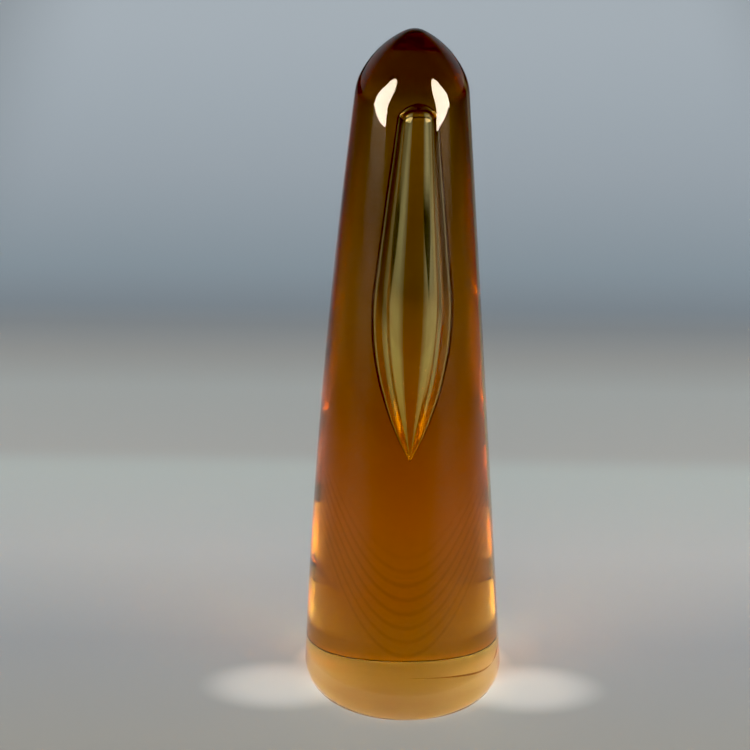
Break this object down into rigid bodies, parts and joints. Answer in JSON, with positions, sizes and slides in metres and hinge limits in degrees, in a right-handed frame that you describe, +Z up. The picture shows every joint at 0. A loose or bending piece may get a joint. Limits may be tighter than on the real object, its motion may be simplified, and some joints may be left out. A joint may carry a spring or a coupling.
{
  "type": "glass obelisk ornament",
  "caption": "Free-standing solid glass obelisk with a domed tip, an amber core holding a sealed spindle air bubble, and a paler casing ground flat below.",
  "frame": {"origin": "centre of the flat ground base, on the surface that the ornament stands on", "axes": "+Z up along the axis of the glass towards the domed tip, +X towards the side that the bubble is offset to, +Y away from the front"},
  "size_m": [0.0578, 0.0578, 0.2],
  "materials": {
    "casing_glass": "polished pale straw glass with a thin rainbow lustre fumed on the outside",
    "amber_glass": "clear deep amber glass"
  },
  "bodies": {
    "root": {"outer_casing": "casing_glass", "amber_core": "amber_glass"}
  },
  "joints": []
}
